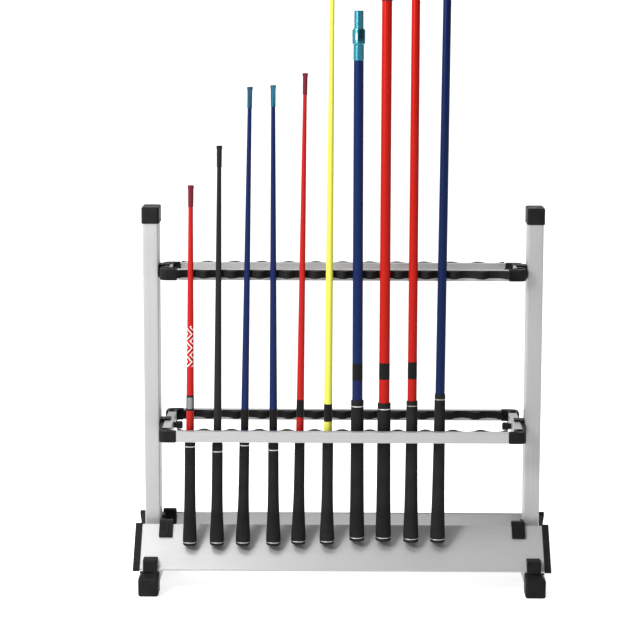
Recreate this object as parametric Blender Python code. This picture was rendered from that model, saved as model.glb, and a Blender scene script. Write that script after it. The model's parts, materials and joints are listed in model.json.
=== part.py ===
"""A two-sided aluminium rack for fishing rods, with ten rods standing in its front notches.

X runs along the rack, Y from the front (-) to the back (+) and Z up. The origin is on the floor under
the middle of the rack. Lengths are in metres. Most pieces are drawn once, in the quarter where X and Y
are positive, and mirrored to the other corners.
"""
import math

import bmesh
import bpy
from mathutils import Vector

GAP = 0.0003                    # clearance between pieces that touch
ROUND_STEPS = 16                # sides of a turned rod
SMOOTH_ANGLE = math.radians(35)
EDGE_ANGLE = math.radians(50)   # edges sharper than this are softened
THROUGH = 0.002                 # how far a cutting tool stands out of what it cuts
CORNERS = ((-1, -1), (1, -1), (-1, 1), (1, 1))    # X and Y sides

# Posts, feet and what joins them
POST_X = 0.349                  # centre line of the posts and of the foot bars
POST_SIZE = (0.028, 0.050)
POST_WALL = 0.002
POST_EDGE, POST_INNER_EDGE = 0.003, 0.001
POST_TOP = 0.6905
CAP_SIZE = (0.0328, 0.0548)
CAP_BOTTOM, CAP_TOP = 0.6640, 0.6940
CAP_EDGE, CAP_SOFTENING = 0.0045, 0.0014
FOOT_BOTTOM, FOOT_TOP = 0.003, 0.033
FOOT_HALF_LENGTH = 0.1345
ANCHOR_HEIGHT = 0.025
BOLT_RADIUS, BOLT_HOLE_RADIUS = 0.003, 0.0034
BOLT_HEAD_RADIUS = 0.0055
BOLT_HEAD_HEIGHT = 0.0055
BOLT_GRIP = 0.004               # how far the bolt reaches into the anchor block
ACCESS_HOLE_RADIUS = 0.008

# Boots on the ends of the foot bars
BOOT_WIDTH = 0.037
BOOT_FRONT, BOOT_BACK = 0.1395, 0.104
BOOT_FACE_HEIGHT, BOOT_HEIGHT = 0.0325, 0.0395
BOOT_SOFTENING = 0.0022
NECK_X, NECK_WIDTH = 0.347, 0.0255
NECK_FRONT, NECK_TOP = 0.1212, 0.0637
NECK_SLOPE = (0.0030, 0.0028)   # the slanted edge along the neck's top
NECK_SOFTENING = 0.0010
NECK_ROOT = 0.003               # how far the neck is sunk into the sleeve

# Trays: two sheets in an inverted V
TRAY_TOP = (0.046, 0.1115)      # distance from the middle, height
TRAY_ANGLE = math.radians(44)
TRAY_WIDTH = 0.0955
TRAY_SHEET = 0.003
TRAY_HALF_LENGTH = 0.376
LIP_BOTTOM = 0.0425
LIP_THICKNESS = 0.004
END_CAP = (0.3679, 0.3785)      # inner and outer end of the strip that closes a tray's end
END_CAP_FACE, END_CAP_BACK = 0.0022, 0.0030   # its thickness above and below the sheet
END_CAP_EDGE = 0.0012
END_CAP_LIP = 0.0065

# Clips over the trays' upper edges
CLIP = (0.3105, 0.3347)
CLIP_CORNERS = ((-1, -1), (1, -1), (-1, 1))    # the back right corner has none
CLIP_INNER_Y = 0.0360
CLIP_TOP, CLIP_BOTTOM = 0.1185, 0.0880
CLIP_FACE = 0.0058              # thickness of the tongue above the tray
CLIP_LENGTH, CLIP_TIP = 0.0290, 0.0020
CLIP_UNDER = 0.0220             # how far the clip runs down under the tray
CLIP_SOFTENING = 0.0008
FLANGE_THICKNESS = 0.0050
FLANGE_Y = (0.0080, 0.0400)
FLANGE_Z = (0.0900, 0.1140)

# Rings that hold the rods
CORNER_X = 0.3315
CORNER_LEG_X, CORNER_LEG_Y = 0.032, 0.034
CORNER_THICK_X, CORNER_THICK_Y = 0.0210, 0.014
CORNER_HEIGHT = 0.021
CORNER_RADIUS, CORNER_INNER_CUT = 0.013, 0.004
CORNER_SOFTENING = 0.0012
RAIL_INSET = 0.001              # from a corner's outer face to the rail's
RAIL_SIZE = (0.012, 0.0195)
RAIL_WALL = 0.0016
END_BAR = (0.3112, 0.3267)
SPIGOT = 0.008
LOWER_RING = {"name": "lower", "depth": 0.1060, "top": 0.2980, "facing": -1}
UPPER_RING = {"name": "upper", "depth": 0.0505, "top": 0.5850, "facing": 1}

# Notched strips
NOTCHES = 12
PITCH = 0.050
STRIP_HEIGHT = 0.0135
STRIP_RISE = 0.0027              # how far its middle is above the rail's middle
STRIP_DEPTH = 0.020
STRIP_FLOOR = 0.0025            # thickness left at the bottom of a notch
NOTCH_RADIUS = 0.0185
STRIP_END_DEPTH = 0.0190

# Thumb knobs
KNOB = (0.2945, 0.3045)
KNOB_RADIUS, KNOB_LOBES, KNOB_STEPS = 0.0075, 6, 24
KNOB_LOBE_HEIGHT = 0.0007
KNOB_EDGE = 0.0015
COLLAR_RADIUS = 0.0055
SCREW_RADIUS, SCREW_END = 0.003, 0.3460
SCREW_HOLE_RADIUS = 0.0035
HOLE_STEPS = 12

# Brackets: inner face, outer face of the arm, outer face of the block
BRACKET = (0.3270, 0.3325, 0.3347)
BRACKET_HALF = 0.012
BRACKET_HOOK_HEIGHT = 0.0030
BRACKET_HOOK_INNER = 0.3162
BRACKET_HOOK_FRONT = 0.0080

# Rods. Every rod passes the middle of the lower ring at the same distance from the rack's middle.
ROD_LOWER_Y = 0.0757
RODS = (
    # colour, X offset at lower and upper ring, Y at upper ring, top, radius of the butt, of the grip's
    # waist and top, and of the blank at the grip and at the tip, grip length, butt edge radius, plug
    ("red", -0.0007, 0.0009, 0.06, 0.737, 0.0126, 0.0104, 0.0096, 0.0073, 0.0042, 0.2, 0.005, "plain"),
    ("charcoal", -0.001, 0.0013, 0.06, 0.808, 0.013, 0.0104, 0.0097, 0.0074, 0.0039, 0.19, 0.005, "plain"),
    ("navy", -0.002, 0.0026, 0.0602, 0.913, 0.0132, 0.01, 0.0091, 0.0071, 0.0037, 0.2, 0.005, "plain"),
    ("navy", 0.0001, -0.0002, 0.0602, 0.916, 0.0133, 0.0104, 0.0094, 0.0074, 0.0038, 0.192, 0.005, "plain"),
    ("red", -0.0018, 0.002, 0.0632, 0.938, 0.0133, 0.0103, 0.009, 0.0071, 0.0035, 0.198, 0.005, "plain"),
    ("yellow", -0.0011, 0.0009, 0.0635, 1.17, 0.0134, 0.0106, 0.01, 0.0077, 0.004, 0.198, 0.005, "plain"),
    ("blue", 0.002, 0.0019, 0.07, 1.049, 0.0137, 0.0125, 0.0115, 0.0095, 0.0089, 0.2595, 0.0025, "stepped"),
    ("red", 0.0003, 0.0007, 0.07, 1.104, 0.014, 0.0128, 0.0118, 0.0098, 0.0091, 0.2545, 0.0025, "plain"),
    ("red", 0.0006, 0.0013, 0.0675, 1.142, 0.0139, 0.0119, 0.0101, 0.0085, 0.0076, 0.26, 0.0025, "plain"),
    ("midnight", 0.0005, 0.0032, 0.0675, 1.121, 0.0134, 0.0115, 0.0097, 0.0086, 0.0073, 0.2735, 0.0025, "plain"),
)
BUTT_TOP, FLARE, WAIST = 0.012, 0.045, 0.080    # heights along a grip
FLARE_SHARE = 0.45              # how much of the butt's extra radius is left at the flare
GRIP_SHOULDER, SHOULDER_STEP = 0.005, 0.0005
STEP = 0.0002                   # length of a step in a turned profile

# Tip plugs: distance down from the rod's top, and how much the radius differs from the blank's tip
PLUGS = {
    "plain": ((0.0390, 0.0), (0.0388, 0.0007), (0.0070, 0.0009), (0.0050, 0.0015), (0.0, 0.0015)),
    "stepped": (
        (0.0880, 0.0),
        (0.0878, 0.0008),
        (0.0600, 0.0008),
        (0.0580, 0.0027),
        (0.0350, 0.0029),
        (0.0315, 0.0008),
        (0.0313, -0.0004),
        (0.0, -0.0004),
    ),
}

COLOURS = {
    # base colour, metallic, roughness
    "aluminium": ((0.72, 0.72, 0.71), 1.0, 0.35),
    "steel": ((0.55, 0.55, 0.56), 1.0, 0.30),
    "black_plastic": ((0.022, 0.022, 0.023), 0.0, 0.55),
    "black_rubber": ((0.018, 0.018, 0.019), 0.0, 0.75),
    "rod_red": ((0.52, 0.018, 0.015), 0.0, 0.25),
    "rod_charcoal": ((0.035, 0.035, 0.037), 0.0, 0.35),
    "rod_navy": ((0.015, 0.035, 0.20), 0.0, 0.25),
    "rod_yellow": ((0.80, 0.83, 0.05), 0.0, 0.30),
    "rod_blue": ((0.012, 0.030, 0.23), 0.0, 0.25),
    "rod_midnight": ((0.010, 0.022, 0.12), 0.0, 0.25),
}


def clear_scene():
    for item in list(bpy.data.objects):
        bpy.data.objects.remove(item, do_unlink=True)


def make_materials():
    made = {}
    for name, (colour, metallic, roughness) in COLOURS.items():
        material = bpy.data.materials.new(name)
        material.use_nodes = True
        shader = material.node_tree.nodes["Principled BSDF"]
        shader.inputs["Base Color"].default_value = (*colour, 1.0)
        shader.inputs["Metallic"].default_value = metallic
        shader.inputs["Roughness"].default_value = roughness
        made[name] = material
    return made


def point_on(axis, position, pair):
    """A 3-D point from a position along one axis and the two other coordinates."""
    point = list(pair)
    point.insert("XYZ".index(axis), position)
    return point


def prism(axis, start, end, outline):
    """A solid extruded along an axis. The outline's points are pairs of the two other coordinates."""
    solid = bmesh.new()
    low = [solid.verts.new(point_on(axis, start, pair)) for pair in outline]
    high = [solid.verts.new(point_on(axis, end, pair)) for pair in outline]
    solid.faces.new(low)
    solid.faces.new(high)
    for index in range(len(outline)):
        following = (index + 1) % len(outline)
        solid.faces.new((low[index], low[following], high[following], high[index]))
    bmesh.ops.recalc_face_normals(solid, faces=solid.faces)
    return solid


def hollow_section(axis, start, end, outer, inner):
    """A tube with open ends. Both outlines have the same number of points."""
    solid = bmesh.new()
    rings = []
    for outline, position in ((outer, start), (outer, end), (inner, end), (inner, start)):
        rings.append([solid.verts.new(point_on(axis, position, pair)) for pair in outline])
    for near, far in zip(rings, rings[1:] + rings[:1]):
        for index in range(len(outer)):
            following = (index + 1) % len(outer)
            solid.faces.new((near[index], near[following], far[following], far[index]))
    bmesh.ops.recalc_face_normals(solid, faces=solid.faces)
    return solid


def box(low, high):
    return prism("Z", low[2], high[2], rectangle(low[0], high[0], low[1], high[1]))


def rectangle(left, right, bottom, top):
    return [(left, bottom), (right, bottom), (right, top), (left, top)]


def arc(centre, radius, start, end, steps):
    """Points on an arc from one angle to another, in degrees, both ends included."""
    points = []
    for step in range(steps + 1):
        angle = math.radians(start + (end - start) * step / steps)
        points.append((centre[0] + radius * math.cos(angle), centre[1] + radius * math.sin(angle)))
    return points


def rounded_rectangle(centre, size, radius, steps=2):
    """A rectangle with round corners, given by its centre and full size."""
    half_u, half_v = size[0] / 2 - radius, size[1] / 2 - radius
    points = []
    for start, sign_u, sign_v in ((0, 1, 1), (90, -1, 1), (180, -1, -1), (270, 1, -1)):
        corner = (centre[0] + sign_u * half_u, centre[1] + sign_v * half_v)
        points += arc(corner, radius, start, start + 90, steps)
    return points


def turned(axis, profile, steps, lobes=0):
    """A solid of revolution on a coordinate axis through the origin.

    Each profile entry is (position, radius) or (position, radius, lobe height).
    """
    solid = bmesh.new()
    rings = []
    for entry in profile:
        position, radius = entry[0], entry[1]
        lobe = entry[2] if len(entry) > 2 else 0.0
        ring = []
        for step in range(steps):
            angle = 2 * math.pi * step / steps
            reach = radius + lobe * math.cos(lobes * angle)
            pair = (reach * math.cos(angle), reach * math.sin(angle))
            ring.append(solid.verts.new(point_on(axis, position, pair)))
        rings.append(ring)
    solid.faces.new(rings[0])
    solid.faces.new(rings[-1])
    for near, far in zip(rings, rings[1:]):
        for index in range(steps):
            following = (index + 1) % steps
            solid.faces.new((near[index], near[following], far[following], far[index]))
    bmesh.ops.recalc_face_normals(solid, faces=solid.faces)
    return solid


def moved(solid, offset):
    bmesh.ops.translate(solid, verts=solid.verts, vec=offset)
    return solid


def mirrored(solid, side_x, side_y):
    """A copy of a solid in the quarter given by the two signs."""
    copy = solid.copy()
    bmesh.ops.scale(copy, verts=copy.verts, vec=(side_x, side_y, 1))
    bmesh.ops.recalc_face_normals(copy, faces=copy.faces)
    return copy


def combined(first, second, operation):
    """The union or difference of two solids, by Blender's exact Boolean."""
    objects = []
    for label, solid in (("base", first), ("tool", second)):
        mesh = bpy.data.meshes.new(label)
        solid.to_mesh(mesh)
        solid.free()
        item = bpy.data.objects.new(label, mesh)
        bpy.context.scene.collection.objects.link(item)
        objects.append(item)
    base, tool = objects
    modifier = base.modifiers.new("combine", "BOOLEAN")
    modifier.operation = operation
    modifier.solver = "EXACT"
    modifier.object = tool
    result = bmesh.new()
    result.from_object(base, bpy.context.evaluated_depsgraph_get())
    for item in objects:
        mesh = item.data
        bpy.data.objects.remove(item, do_unlink=True)
        bpy.data.meshes.remove(mesh)
    return result


def union(first, second):
    return combined(first, second, "UNION")


def cut(first, second):
    return combined(first, second, "DIFFERENCE")


def softened(solid, width, segments=1):
    """Chamfer or round the solid's sharp outer edges."""
    edges = [edge for edge in solid.edges if edge.is_convex and edge.calc_face_angle() > EDGE_ANGLE]
    bmesh.ops.bevel(solid, geom=edges, offset=width, segments=segments, profile=0.5, affect="EDGES")
    return solid


def add(name, solid, material, origin=(0, 0, 0)):
    """Make a named object from a solid drawn in world coordinates, with its origin at a given point."""
    moved(solid, -Vector(origin))
    mesh = bpy.data.meshes.new(name)
    solid.to_mesh(mesh)
    solid.free()
    mesh.shade_smooth()
    mesh.set_sharp_from_angle(angle=SMOOTH_ANGLE)
    mesh.materials.append(material)
    item = bpy.data.objects.new(name, mesh)
    item.location = origin
    bpy.context.scene.collection.objects.link(item)
    return item


def side_name(side_x, side_y=0):
    names = []
    if side_y:
        names.append("front" if side_y < 0 else "back")
    if side_x:
        names.append("left" if side_x < 0 else "right")
    return "_".join(names)


def add_pair(name, draw, material):
    """One piece at each end of the rack."""
    for side_x in (-1, 1):
        add(f"{name}_{side_name(side_x)}", mirrored(draw(), side_x, 1), material)


def add_at_corners(name, draw, material, corners=CORNERS):
    """One piece at each corner that is given, by its X and Y sides."""
    for side_x, side_y in corners:
        add(f"{name}_{side_name(side_x, side_y)}", mirrored(draw(), side_x, side_y), material)


# Posts, foot bars and boots

def ring_middle(ring):
    return ring["top"] - CORNER_HEIGHT / 2


def drilled(solid, axis, centre, start, end, radius):
    """The solid with a round hole along an axis, from just before start to just past end."""
    hole = turned(axis, [(start - THROUGH, radius), (end + THROUGH, radius)], HOLE_STEPS)
    return cut(solid, moved(hole, centre))


def post():
    outer = rounded_rectangle((POST_X, 0), POST_SIZE, POST_EDGE)
    inner_size = (POST_SIZE[0] - 2 * POST_WALL, POST_SIZE[1] - 2 * POST_WALL)
    inner = rounded_rectangle((POST_X, 0), inner_size, POST_INNER_EDGE)
    solid = hollow_section("Z", FOOT_TOP + GAP, POST_TOP, outer, inner)
    face = POST_X - POST_SIZE[0] / 2
    for ring in (LOWER_RING, UPPER_RING):
        centre = (0, 0, ring_middle(ring))
        solid = drilled(solid, "X", centre, face, face + POST_WALL, SCREW_HOLE_RADIUS)
    return solid


def post_cap():
    outline = rounded_rectangle((POST_X, 0), CAP_SIZE, CAP_EDGE, 3)
    solid = softened(prism("Z", CAP_BOTTOM, CAP_TOP, outline), CAP_SOFTENING)
    pocket_size = (POST_SIZE[0] + 2 * GAP, POST_SIZE[1] + 2 * GAP)
    pocket_outline = rounded_rectangle((POST_X, 0), pocket_size, POST_EDGE)
    return cut(solid, prism("Z", CAP_BOTTOM - THROUGH, POST_TOP + GAP, pocket_outline))


def foot_bar():
    left, right = POST_X - POST_SIZE[0] / 2, POST_X + POST_SIZE[0] / 2
    outer = rectangle(left, right, FOOT_BOTTOM, FOOT_TOP)
    inner = rectangle(left + POST_WALL, right - POST_WALL, FOOT_BOTTOM + POST_WALL, FOOT_TOP - POST_WALL)
    solid = hollow_section("Y", -FOOT_HALF_LENGTH, FOOT_HALF_LENGTH, outer, inner)
    centre = (POST_X, 0, 0)
    solid = drilled(solid, "Z", centre, FOOT_TOP - POST_WALL, FOOT_TOP, BOLT_HOLE_RADIUS)
    return drilled(solid, "Z", centre, FOOT_BOTTOM, FOOT_BOTTOM + POST_WALL, ACCESS_HOLE_RADIUS)


def post_anchor():
    """The block in the foot of a post, with the bolt that holds it down on the foot bar."""
    half_x = POST_SIZE[0] / 2 - POST_WALL - GAP
    half_y = POST_SIZE[1] / 2 - POST_WALL - GAP
    bottom = FOOT_TOP + GAP
    block = box((POST_X - half_x, -half_y, bottom), (POST_X + half_x, half_y, bottom + ANCHOR_HEIGHT))
    head_top = FOOT_TOP - POST_WALL - GAP
    head = turned("Z", [(head_top - BOLT_HEAD_HEIGHT, BOLT_HEAD_RADIUS), (head_top, BOLT_HEAD_RADIUS)], 6)
    shank_ends = (head_top - BOLT_HEAD_HEIGHT / 2, bottom + BOLT_GRIP)
    shank = turned("Z", [(end, BOLT_RADIUS) for end in shank_ends], HOLE_STEPS)
    bolt = moved(union(head, shank), (POST_X, 0, 0))
    return union(block, bolt)


def boot():
    """The sleeve over a foot bar's end, with the neck that holds the tray's lower edge."""
    side = [
        (BOOT_FRONT, 0.0),
        (BOOT_FRONT, BOOT_FACE_HEIGHT),
        (NECK_FRONT, BOOT_HEIGHT),
        (BOOT_BACK, BOOT_HEIGHT),
        (BOOT_BACK, 0.0),
    ]
    sleeve = prism("X", POST_X - BOOT_WIDTH / 2, POST_X + BOOT_WIDTH / 2, side)
    softened(sleeve, BOOT_SOFTENING, 2)
    half_bar = POST_SIZE[0] / 2 + GAP
    low = (POST_X - half_bar, BOOT_BACK - THROUGH, FOOT_BOTTOM - GAP)
    high = (POST_X + half_bar, FOOT_HALF_LENGTH + GAP, FOOT_TOP + GAP)
    sleeve = cut(sleeve, box(low, high))
    reach = (NECK_TOP - TRAY_TOP[1]) / -math.sin(TRAY_ANGLE)
    tray_foot = on_tray(TRAY_WIDTH, GAP)
    root = BOOT_HEIGHT - NECK_ROOT
    neck_back = BOOT_BACK + BOOT_SOFTENING
    neck = [
        (NECK_FRONT, root),
        (NECK_FRONT, NECK_TOP - NECK_SLOPE[1]),
        (NECK_FRONT - NECK_SLOPE[0], NECK_TOP),
        (on_tray(reach, 2 * GAP)[0], NECK_TOP),
        (tray_foot[0] + GAP, tray_foot[1]),
        (tray_foot[0] + GAP, LIP_BOTTOM - GAP),
        (neck_back, LIP_BOTTOM - GAP),
        (neck_back, root),
    ]
    column = prism("X", NECK_X - NECK_WIDTH / 2, NECK_X + NECK_WIDTH / 2, neck)
    return union(sleeve, softened(column, NECK_SOFTENING))


# Trays

def on_tray(along, above):
    """Distance from the middle, and height, of a point so far down a tray and above its face."""
    direction = (math.cos(TRAY_ANGLE), -math.sin(TRAY_ANGLE))
    normal = (math.sin(TRAY_ANGLE), math.cos(TRAY_ANGLE))
    return tuple(TRAY_TOP[i] + along * direction[i] + above * normal[i] for i in range(2))


def tray_outline(grow=0.0):
    """The sheet's section, and the lip along its lower edge. A pocket for it is a little larger."""
    lower = on_tray(TRAY_WIDTH, grow)
    under = on_tray(TRAY_WIDTH - LIP_THICKNESS, -TRAY_SHEET - grow)
    return [
        on_tray(-grow, grow),
        (lower[0] + grow, lower[1]),
        (lower[0] + grow, LIP_BOTTOM - grow),
        (under[0], LIP_BOTTOM - grow),
        under,
        on_tray(-grow, -TRAY_SHEET - grow),
    ]


def tray():
    return prism("X", -TRAY_HALF_LENGTH, TRAY_HALF_LENGTH, tray_outline())


def tray_end_cap():
    """The strip that closes a tray's end. Its section is the tray's, grown on all sides."""
    lower = on_tray(TRAY_WIDTH, END_CAP_FACE)
    bottom, under = LIP_BOTTOM - END_CAP_EDGE, -TRAY_SHEET - END_CAP_BACK
    section = [
        on_tray(-END_CAP_EDGE, END_CAP_FACE),
        lower,
        (lower[0], bottom),
        (lower[0] - END_CAP_LIP, bottom),
        on_tray(TRAY_WIDTH - END_CAP_LIP, under),
        on_tray(-END_CAP_EDGE, under),
    ]
    solid = prism("X", END_CAP[0], END_CAP[1], section)
    return cut(solid, prism("X", END_CAP[0] - THROUGH, TRAY_HALF_LENGTH + GAP, tray_outline(GAP)))


def tray_clip():
    """The hook over a tray's upper edge, with a flange against the post's inner face."""
    crown = (TRAY_TOP[1] + CLIP_FACE * math.cos(TRAY_ANGLE) - CLIP_TOP) / math.sin(TRAY_ANGLE)
    sole = on_tray(CLIP_UNDER, -TRAY_SHEET - GAP)
    section = [
        (CLIP_INNER_Y, CLIP_TOP),
        on_tray(crown, CLIP_FACE),
        on_tray(CLIP_LENGTH - CLIP_TIP, CLIP_FACE),
        on_tray(CLIP_LENGTH, CLIP_FACE - CLIP_TIP),
        on_tray(CLIP_LENGTH, GAP),
        on_tray(-GAP, GAP),
        on_tray(-GAP, -TRAY_SHEET - GAP),
        sole,
        (sole[0] - CLIP_TIP, CLIP_BOTTOM),
        (CLIP_INNER_Y, CLIP_BOTTOM),
    ]
    hook = softened(prism("X", CLIP[0], CLIP[1], section), CLIP_SOFTENING)
    low = (CLIP[1] - FLANGE_THICKNESS, FLANGE_Y[0], FLANGE_Z[0])
    high = (CLIP[1] - GAP, FLANGE_Y[1], FLANGE_Z[1])
    return union(hook, box(low, high))


# Rings

def ring_corner(ring):
    """A moulded elbow, with a spigot into the rail and one into the end bar."""
    outer_y, top = ring["depth"], ring["top"]
    inner_x, inner_y = CORNER_X - CORNER_THICK_X, outer_y - CORNER_THICK_Y
    end_x, end_y = CORNER_X - CORNER_LEG_X, outer_y - CORNER_LEG_Y
    plan = [(end_x, outer_y), (end_x, inner_y)]
    plan += [(inner_x - CORNER_INNER_CUT, inner_y), (inner_x, inner_y - CORNER_INNER_CUT)]
    plan += [(inner_x, end_y), (CORNER_X, end_y)]
    plan += arc((CORNER_X - CORNER_RADIUS, outer_y - CORNER_RADIUS), CORNER_RADIUS, 0, 90, 5)
    solid = prism("Z", top - CORNER_HEIGHT, top, plan)
    rims = [edge for edge in solid.edges if edge.verts[0].co.z == edge.verts[1].co.z]
    bmesh.ops.bevel(solid, geom=rims, offset=CORNER_SOFTENING, segments=1, affect="EDGES")
    half_height = RAIL_SIZE[1] / 2 - RAIL_WALL - GAP
    middle = ring_middle(ring)
    rail_y = outer_y - RAIL_INSET - RAIL_SIZE[0] / 2
    half_rail = RAIL_SIZE[0] / 2 - RAIL_WALL - GAP
    rail_spigot = box(
        (end_x - SPIGOT, rail_y - half_rail, middle - half_height),
        (end_x + SPIGOT / 2, rail_y + half_rail, middle + half_height),
    )
    bar_spigot = box(
        (END_BAR[0] + RAIL_WALL + GAP, end_y - SPIGOT, middle - half_height),
        (END_BAR[1] - RAIL_WALL - GAP, end_y + SPIGOT / 2, middle + half_height),
    )
    return union(union(solid, rail_spigot), bar_spigot)


def rail(ring):
    middle_y = ring["depth"] - RAIL_INSET - RAIL_SIZE[0] / 2
    middle_z = ring_middle(ring)
    half_length = CORNER_X - CORNER_LEG_X - GAP
    outer = rectangle_around((middle_y, middle_z), RAIL_SIZE)
    inner = rectangle_around((middle_y, middle_z), [size - 2 * RAIL_WALL for size in RAIL_SIZE])
    return hollow_section("X", -half_length, half_length, outer, inner)


def rectangle_around(centre, size):
    half_u, half_v = size[0] / 2, size[1] / 2
    return rectangle(centre[0] - half_u, centre[0] + half_u, centre[1] - half_v, centre[1] + half_v)


def end_bar(ring):
    middle_x = (END_BAR[0] + END_BAR[1]) / 2
    middle_z = ring_middle(ring)
    size = (END_BAR[1] - END_BAR[0], RAIL_SIZE[1])
    half_length = ring["depth"] - CORNER_LEG_Y - GAP
    outer = rectangle_around((middle_x, middle_z), size)
    inner = rectangle_around((middle_x, middle_z), [side - 2 * RAIL_WALL for side in size])
    solid = hollow_section("Y", -half_length, half_length, outer, inner)
    return drilled(solid, "X", (0, 0, middle_z), END_BAR[0], END_BAR[1], SCREW_HOLE_RADIUS)


def notched_strip(ring):
    """A rubber strip with round notches, on the outward or the inward face of a rail."""
    half_pitch = PITCH / 2
    notch_height = STRIP_FLOOR + NOTCH_RADIUS
    # The peak's circle touches both neighbouring notch circles, and its top is at STRIP_DEPTH.
    rise = notch_height - STRIP_DEPTH
    peak_radius = (half_pitch ** 2 + rise ** 2 - NOTCH_RADIUS ** 2) / (2 * (NOTCH_RADIUS - rise))
    peak_height = STRIP_DEPTH - peak_radius
    touch = math.degrees(math.atan2(notch_height - peak_height, half_pitch))
    half_length = CORNER_X - CORNER_LEG_X - 2 * GAP
    wave = []
    for index in range(NOTCHES):
        centre = (index - (NOTCHES - 1) / 2) * PITCH
        wave += arc((centre, notch_height), NOTCH_RADIUS, 180 + touch, 360 - touch, 8)
        if index < NOTCHES - 1:
            crest = (centre + half_pitch, peak_height)
            wave += arc(crest, peak_radius, 180 - touch, touch, 5)[1:-1]
    outline = [(-half_length, 0.0), (-half_length, STRIP_END_DEPTH)] + wave
    outline += [(half_length, STRIP_END_DEPTH), (half_length, 0.0)]
    rail_outer = ring["depth"] - RAIL_INSET
    face = rail_outer if ring["facing"] > 0 else rail_outer - RAIL_SIZE[0]
    start = face + ring["facing"] * GAP
    plan = [(x, start + ring["facing"] * height) for x, height in outline]
    middle = ring_middle(ring) + STRIP_RISE
    return prism("Z", middle - STRIP_HEIGHT / 2, middle + STRIP_HEIGHT / 2, plan)


def ring_bracket(ring):
    """The block between an end bar and a post. It hooks over the bar and runs on to the front corner."""
    inner, arm_face, outer = BRACKET
    bottom, top = ring["top"] - CORNER_HEIGHT, ring["top"]
    hook_top = top + BRACKET_HOOK_HEIGHT
    block = box((inner, -BRACKET_HALF, bottom), (outer, BRACKET_HALF, hook_top))
    bar_top = ring_middle(ring) + RAIL_SIZE[1] / 2
    hook_low = (BRACKET_HOOK_INNER, -BRACKET_HOOK_FRONT, bar_top + GAP)
    hook = box(hook_low, (inner + THROUGH, BRACKET_HALF, hook_top))
    front = min(-(ring["depth"] - CORNER_LEG_Y - GAP), -BRACKET_HALF - THROUGH)
    arm_top = top - RAIL_INSET
    arm = box((inner, front, bottom + RAIL_INSET), (arm_face, -BRACKET_HALF + THROUGH, arm_top))
    solid = union(union(block, hook), arm)
    return drilled(solid, "X", (0, 0, ring_middle(ring)), inner, outer, SCREW_HOLE_RADIUS)


def thumb_knob(ring):
    """A lobed head, its collar and its screw, which reaches through the end bar into the post."""
    collar_end = END_BAR[0] - GAP
    profile = [
        (KNOB[0], KNOB_RADIUS - KNOB_EDGE, KNOB_LOBE_HEIGHT),
        (KNOB[0] + KNOB_EDGE, KNOB_RADIUS, KNOB_LOBE_HEIGHT),
        (KNOB[1] - KNOB_EDGE, KNOB_RADIUS, KNOB_LOBE_HEIGHT),
        (KNOB[1], KNOB_RADIUS - KNOB_EDGE, KNOB_LOBE_HEIGHT),
        (KNOB[1] + STEP, COLLAR_RADIUS),
        (collar_end, COLLAR_RADIUS),
        (collar_end + STEP, SCREW_RADIUS),
        (SCREW_END, SCREW_RADIUS),
    ]
    solid = turned("X", profile, KNOB_STEPS, KNOB_LOBES)
    return moved(solid, (0, 0, ring_middle(ring)))


def add_ring(ring, materials):
    name = ring["name"]
    for side_y in (-1, 1):
        place = side_name(0, side_y)
        add(f"{name}_rail_{place}", mirrored(rail(ring), 1, side_y), materials["aluminium"])
        strip = mirrored(notched_strip(ring), 1, side_y)
        add(f"{name}_notched_strip_{place}", strip, materials["black_rubber"])
    add_at_corners(f"{name}_corner", lambda: ring_corner(ring), materials["black_plastic"])
    add_pair(f"{name}_end_bar", lambda: end_bar(ring), materials["aluminium"])
    add_pair(f"{name}_bracket", lambda: ring_bracket(ring), materials["black_plastic"])
    for side_x in (-1, 1):
        axis_point = (side_x * KNOB[0], 0, ring_middle(ring))
        solid = mirrored(thumb_knob(ring), side_x, 1)
        add(f"{name}_thumb_knob_{side_name(side_x)}", solid, materials["black_plastic"], origin=axis_point)


# Rods

def rod_profile(length, butt, waist, grip_top, blank, tip, grip_length, edge, plug):
    """Butt edge, tapering grip, blank and tip plug, from the bottom up."""
    profile = [(height, butt - edge + reach) for reach, height in arc((0.0, edge), edge, -90, 0, 3)]
    profile += [
        (BUTT_TOP, butt),
        (FLARE, waist + FLARE_SHARE * (butt - waist)),
        (WAIST, waist),
        (grip_length - GRIP_SHOULDER, grip_top),
        (grip_length, blank + SHOULDER_STEP),
        (grip_length + STEP, blank),
    ]
    profile += [(length - depth, tip + extra) for depth, extra in PLUGS[plug]]
    return profile


def rod_axis(number, data):
    """The rod's butt centre and its unit direction, resting on the front tray."""
    low_shift, high_shift, upper_y = data[1:4]
    butt, edge = data[5], data[11]
    centre = (number - (NOTCHES - 1) / 2) * PITCH
    low = Vector((centre + low_shift, -ROD_LOWER_Y, ring_middle(LOWER_RING)))
    high = Vector((centre + high_shift, -upper_y, ring_middle(UPPER_RING)))
    direction = (high - low).normalized()
    lean = math.atan2(ROD_LOWER_Y - upper_y, high.z - low.z)
    # Heights above the tray's face, measured square to it: the round butt edge must just touch it.
    normal = (math.sin(TRAY_ANGLE), math.cos(TRAY_ANGLE))
    start = (ROD_LOWER_Y - TRAY_TOP[0], low.z - TRAY_TOP[1])
    inward, upward = (-math.cos(lean), -math.sin(lean)), (-math.sin(lean), math.cos(lean))
    edge_point = [start[i] + (butt - edge) * inward[i] + edge * upward[i] for i in range(2)]
    clearance = sum(edge_point[i] * normal[i] for i in range(2)) - edge - GAP
    travel = clearance / sum(upward[i] * normal[i] for i in range(2))
    travel_per_length = 1 / math.hypot(direction.y, direction.z)
    return low - direction * travel * travel_per_length, direction


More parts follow.
